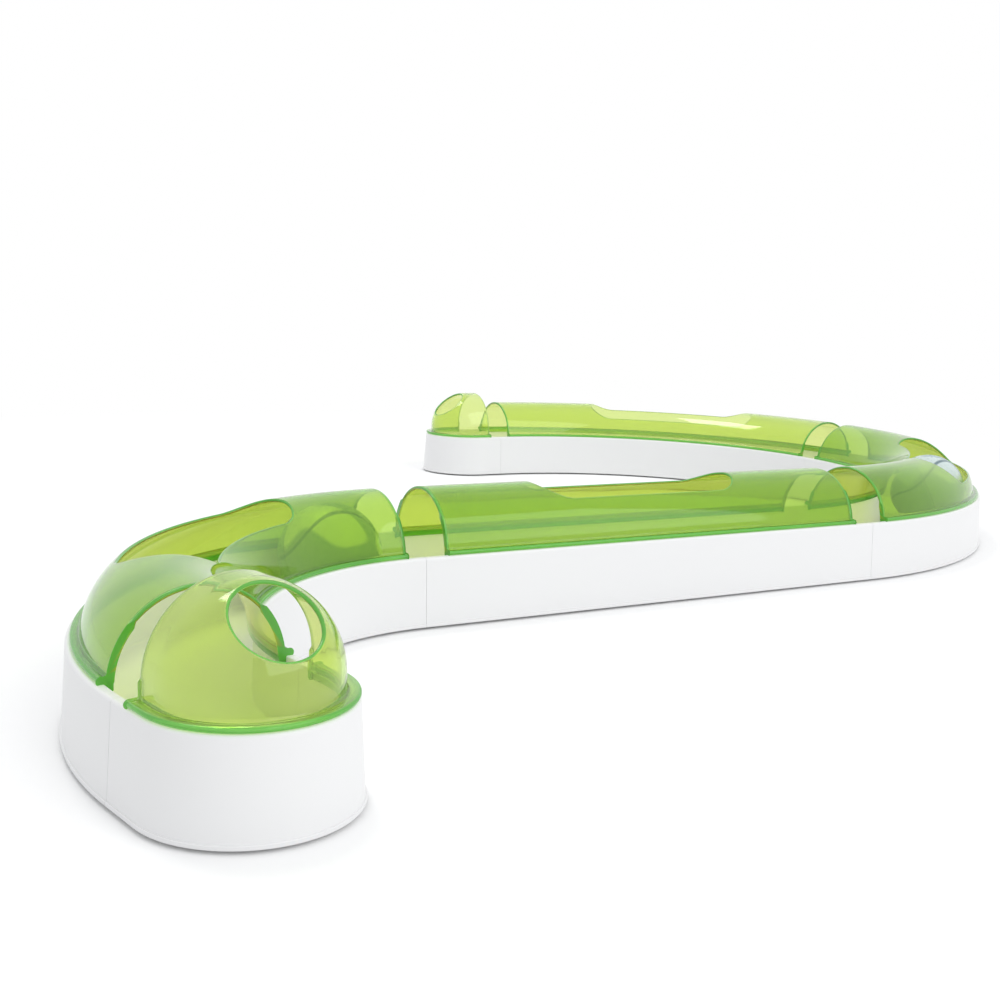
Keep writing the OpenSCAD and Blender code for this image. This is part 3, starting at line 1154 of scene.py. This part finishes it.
@dataclass
class DomeCover:
    """A clear domed cover of a dead end, with a round paw hole and a flange as wide as the rim."""

    name: str
    joint: JointFrame
    shape: CoverShape = CoverShape(rise=29.2, half_flange=27.2)
    run_len: float = PLAN.end_run
    mouth: float = 8.0
    hole_r: float = 11.2
    hole_tilt: float = 50.0
    mouth_mark: float = 0.4

    def ball(self, way: Array, depth: float) -> Array:
        """World places on the dome for unit directions and a depth under its outer face."""
        out, left, up = np.moveaxis((self.shape.radius - depth) * way, -1, 0)
        return self.joint.place(self.run_len + out, left, self.shape.centre + up)

    def directions(self, loop: Array, gap: float, share: float) -> Array:
        """Unit directions on great circles from the hole's edge to a loop.

        Args:
            loop: Unit directions of the dome's border.
            gap: Distance in mm from the hole's edge.
            share: 0 at the hole's edge and 1 at the border.

        Returns:
            Unit directions, one for each of the loop's.
        """
        tilt = math.radians(self.hole_tilt)
        axis = np.array([math.cos(tilt), 0.0, math.sin(tilt)])
        first = np.array([0.0, 1.0, 0.0])
        second = np.cross(axis, first)
        far = np.arccos(np.clip(loop @ axis, -1, 1))
        turn = np.arctan2(loop @ second, loop @ first)
        near = math.asin(self.hole_r / self.shape.middle) + gap / self.shape.middle
        at = near + (far - near) * share
        flat = np.cos(turn)[:, None] * first + np.sin(turn)[:, None] * second
        return np.cos(at)[:, None] * axis + np.sin(at)[:, None] * flat

    def shell(self, skin: Skin, turn: Array, over: Array) -> None:
        """Adds the quarter ball round the hole, with a half-round edge along the hole.

        Args:
            skin: Where the surfaces go.
            turn: Angles round the dome's foot.
            over: Angles over its arch.
        """
        level = np.insert(circle(0.0, 0.0, 1.0, turn), 2, 0.0, axis=1)
        arch = np.insert(circle(0.0, 0.0, 1.0, over), 0, 0.0, axis=1)
        loop = np.concatenate([level[:-1], arch[:-1]])
        wall = self.shape.wall
        half = wall / 2
        share = eased(13, 0.4)
        rows = [self.ball(self.directions(loop, half, g), 0.0) for g in share[::-1]]
        for a in arc(0, 180, 11):
            gap = half * (1 - math.sin(a))
            rows.append(self.ball(self.directions(loop, gap, 0.0), half * (1 - math.cos(a))))
        rows += [self.ball(self.directions(loop, half, g), wall) for g in share]
        marks, inner = rim_marks(len(share), len(rows))
        skin.grid(np.stack(rows), closed=True, marks=marks, inner=inner)

    def build(self, finishes: Finishes) -> Piece:
        """Quarter ball, upright round wall with its flange, and the short tunnel behind it.

        Args:
            finishes: The toy's materials.

        Returns:
            The new object.
        """
        skin = Skin(f"{self.name}_dome")
        turn, over = arc(-90, 90, 61), arc(0, 180, 61)
        self.shell(skin, turn, over)
        foot = self.shape.foot()
        out = self.run_len + np.cos(turn)[:, None] * foot[:, 0]
        left = np.sin(turn)[:, None] * foot[:, 0]
        flange, inner = self.shape.flange_marks(foot), self.shape.inner_face(foot)
        skin.grid(self.joint.place(out, left, foot[:, 1]), marks=flange, inner=inner)
        self.tunnel(skin, over)
        body, node = f"{self.name}_lid", f"{self.name}_cover"
        # painted light: the domes take the paler lit copy of the plastic
        return dress(skin.piece(45.0), finishes.lit_lime, body, node, Slot.COVER)

    def ring(self, over: Array, depth: float) -> Array:
        """Closed cross-section of the short tunnel, moved inwards by a depth.

        Args:
            over: Angles over the arch.
            depth: Depth in mm.

        Returns:
            Points as side and height.
        """
        shape = self.shape
        left = pulled_in(shape.foot(), depth)
        top = circle(0.0, shape.centre, shape.radius - depth, over[::-1])[1:-1]
        under = circle(0.0, shape.centre, shape.radius - shape.wall + depth, over)[1:-1]
        right = left[::-1] * [-1.0, 1.0]
        return np.concatenate([top, left, under, right])

    def tunnel(self, skin: Skin, over: Array) -> None:
        """Adds the tunnel from the dome back to its rounded mouth.

        Args:
            skin: Where the surfaces go.
            over: Angles over the arch.
        """
        plain = np.linspace(self.run_len, self.mouth + self.shape.mouth_round, 12)
        self.shape.to_mouth(skin, lambda depth: self.ring(over, depth), self.joint.place, plain,
                            self.mouth, self.mouth_mark)


# Balls


@dataclass
class HollowBall:
    """A hollow ball in two halves, with a fine groove at its seam."""

    name: str
    centre: Place
    axis: Place
    ground: Colour
    patch: Colour = (0.32, 0.44, 0.47)
    grey: Colour = (0.40, 0.52, 0.54)
    grey_patch: Colour = (0.26, 0.38, 0.42)
    radius: float = 20.0
    wall: float = 1.2
    groove: float = 0.18

    def half(self, name: str, sign: float) -> Skin:
        """One half as a closed shell: outer face, groove edge, seam face and inner face.

        Args:
            name: Name of the piece.
            sign: +1 for the upper half, or -1.

        Returns:
            The skin, with its faces in place.
        """
        skin = Skin(name)
        lift = np.radians(np.concatenate([np.linspace(90, 3, 34), [1.6, 0.9, 0.35]]))
        outer = np.full_like(lift, self.radius)
        outer[-2:] -= [0.04, self.groove]
        inner = arc(0.35, 90, 30)
        hollow = self.radius - self.wall
        up = np.concatenate([outer * np.sin(lift), hollow * np.sin(inner)])
        side = np.concatenate([outer * np.cos(lift), hollow * np.cos(inner)])
        turn = arc(0, 360, 73)[:-1]
        pole = Vector(self.axis).normalized()
        first = pole.orthogonal().normalized()
        second = pole.cross(first)
        axes = np.array([first, second, pole])
        rise = np.repeat(sign * up[:, None], 72, 1)
        flat = np.stack([side[:, None] * np.cos(turn), side[:, None] * np.sin(turn), rise], -1)
        skin.grid(flat @ axes + np.array(self.centre), closed=True)
        return skin

    def build(self) -> None:
        """Both halves, each in its own colour with soft patches and thin lines."""
        for word, sign, ground, patch, slot in (
            ("upper", 1.0, self.ground, self.patch, Slot.PALE),
            ("lower", -1.0, self.grey, self.grey_patch, Slot.GREY),
        ):
            node = f"{self.name}_{word}"
            finish = PrintedBall(f"{self.name}_{slot.name.lower()}", ground, patch, self.centre)
            half = self.half(f"{node}_shell", sign).piece(50.0)
            dress(half, finish.make(), self.name, node, slot)


# Stage, light and camera


@dataclass(frozen=True)
class Studio:
    """White floor, soft light and the camera that matches the photograph."""

    focal_px: float = 1216.559
    yaw: float = 0.5162945
    pitch: float = 0.1611840
    roll: float = 0.0370883
    eye: Place = (-309.414, -423.923, 121.659)
    picture_px: float = 1000.0
    sensor_mm: float = 36.0
    target: Place = (0.0, 0.08, 0.0)
    fade: Span = (0.35, 0.8)

    def world(self, strength: float) -> None:
        """Even soft light, with a plain white background where it is seen.

        Args:
            strength: Strength of the light.
        """
        world = bpy.data.worlds.new("studio_world")
        world.use_nodes = True
        s = Nodes(world.node_tree)
        light = s.node("ShaderNodeBackground", Color=(0.98, 0.99, 1.0), Strength=strength)
        back = s.node("ShaderNodeBackground", Color=WHITE)
        shown = s.shade(light.outputs[0], back.outputs[0], s.seen())
        s.feed(shown, s.node("ShaderNodeOutputWorld").inputs["Surface"])
        bpy.context.scene.world = world

    def floor(self) -> None:
        """A wide pale floor that shows white far from the toy, and keeps the shadows near it."""
        skin = Skin("studio_floor")
        line = np.linspace(-6000, 6000, 3)
        x, y = np.meshgrid(line, line)
        skin.grid(np.stack([x, y, np.zeros_like(x)], -1))
        piece = skin.piece(turn_out=False)
        s = Shader("floor_paper")
        s.set(Base_Color=s.mix((0.86, 0.86, 0.86), WHITE, s.seen()))
        s.set(Roughness=0.9, Specular_IOR_Level=0.0)
        size = s.node("ShaderNodeVectorMath", operation="LENGTH")
        s.feed(s.node("ShaderNodeTexCoord").outputs["Object"], size.inputs[0])
        far = s.ramp(size.outputs["Value"], *self.fade, 0.0, 1.0)
        plain = s.node("ShaderNodeEmission", Color=WHITE).outputs[0]
        s.show(s.shade(s.main.outputs["BSDF"], plain, s.maths("MULTIPLY", far, s.seen())))
        piece.data.materials.append(s.material)
        piece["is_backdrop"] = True

    def lamp(self, name: str, place: Place, size: float, power: float) -> None:
        """A square lamp, in metres and watts, that looks at the middle of the track.

        Args:
            name: Name of the lamp.
            place: Where it hangs.
            size: Its side.
            power: Its power.
        """
        data = bpy.data.lights.new(name, "AREA")
        data.size, data.energy = size, power
        lamp = bpy.data.objects.new(name, data)
        lamp.location = place
        aim = Vector(self.target) - Vector(place)
        lamp.rotation_euler = aim.to_track_quat("-Z", "Y").to_euler()
        bpy.context.scene.collection.objects.link(lamp)

    def camera(self) -> None:
        """The camera: a pinhole at the eye, turned by yaw, pitch and roll."""
        cy, sy = math.cos(self.yaw), math.sin(self.yaw)
        cp, sp = math.cos(self.pitch), math.sin(self.pitch)
        right = Vector((cy, -sy, 0.0))
        ahead = Vector((sy * cp, cy * cp, -sp))
        up = Vector((sy * sp, cy * sp, cp))
        x = math.cos(self.roll) * right + math.sin(self.roll) * up
        y = math.cos(self.roll) * up - math.sin(self.roll) * right
        turn = Matrix((x, y, -ahead)).transposed().to_4x4()
        data = bpy.data.cameras.new("camera")
        data.sensor_width = self.sensor_mm
        data.lens = self.sensor_mm * self.focal_px / self.picture_px
        data.clip_start, data.clip_end = 0.01, 50.0
        camera = bpy.data.objects.new("camera", data)
        camera.matrix_world = Matrix.Translation(Vector(self.eye) * MM) @ turn
        bpy.context.scene.collection.objects.link(camera)
        bpy.context.scene.camera = camera

    def build(self) -> None:
        """Floor, light and camera, with a plain view transform."""
        self.world(0.80)
        self.floor()
        self.lamp("key_lamp", (-0.25, 0.65, 1.5), 0.5, 5.0)
        self.lamp("fill_lamp", (0.6, -1.5, 1.1), 1.6, 12.0)
        self.camera()
        bpy.context.scene.view_settings.view_transform = "Standard"


# The toy


@dataclass
class BallTrack:
    """The whole toy: six modules, their covers and feet, and two balls."""

    finishes: Finishes
    nodes: dict[str, Piece]

    def modules(self) -> None:
        """Builds the six bases and their covers."""
        plain = (SlotShape(), CoverShape())
        slot = SlotShape(length=116.0, half=15.5, shift=-4.0, side=4.5)
        wide = (slot, CoverShape(crest=70.0))
        RunBase("straight", way=PLAN.straight).build(self.finishes)
        # the last flag picks the paler lit copy of the plastic; only the far cover takes it, the
        # others the shaded copy
        for name, way, shapes, pale in (
            ("hook", PLAN.hook, plain, False),
            ("right", PLAN.right, wide, False),
            ("far", PLAN.far, wide, True),
        ):
            RunBase(name, way=way).build(self.finishes)
            TunnelCover(name, way, 9.0, *shapes, pale).build(self.finishes)
        TunnelCover("straight", PLAN.straight, 10.0, *plain, False).build(self.finishes)
        for name, way in (("front_end", PLAN.hook), ("rear_end", PLAN.far)):
            EndBase(name, joint=way.joint(True)).build(self.finishes)
            DomeCover(name, way.joint(True)).build(self.finishes)

    def feet(self) -> None:
        """Dresses the CAD feet in rubber."""
        for name, piece in self.nodes.items():
            if name.endswith("_feet"):
                piece.data.materials.clear()
                piece.data.materials.append(self.finishes.rubber)
                LOG.info("%s: carried over in rubber", name)

    def balls(self) -> None:
        """Builds the ball in the hook and the ball in the right curve."""
        # painted shade: the loop ball's ground is darker, standing in for the shade inside its
        # cover
        light, shaded_ground = (0.84, 0.87, 0.82), (0.60, 0.70, 0.69)
        for name, way, turn, axis, ground in (
            ("hook_ball", PLAN.hook, PLAN.hook_ball_angle, (0.2, -0.85, 0.45), light),
            ("loop_ball", PLAN.right, PLAN.loop_ball_angle, (0.64, -0.64, 0.42), shaded_ground),
        ):
            centre = (*way.point(way.start + turn), PLAN.ball_height)
            HollowBall(name, centre, axis, ground).build()

    def build(self) -> None:
        """Builds every piece."""
        self.modules()
        self.feet()
        self.balls()


def corners() -> list[list[float]]:
    """The model's box as plain numbers."""
    return [[float(v) for v in corner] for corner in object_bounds()]


def main() -> None:
    logging.basicConfig(level=logging.INFO, format="%(name)s: %(message)s")
    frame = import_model()
    BallTrack(Finishes.make(), frame["nodes"]).build()
    Studio().build()


if __name__ == "__main__":
    main()
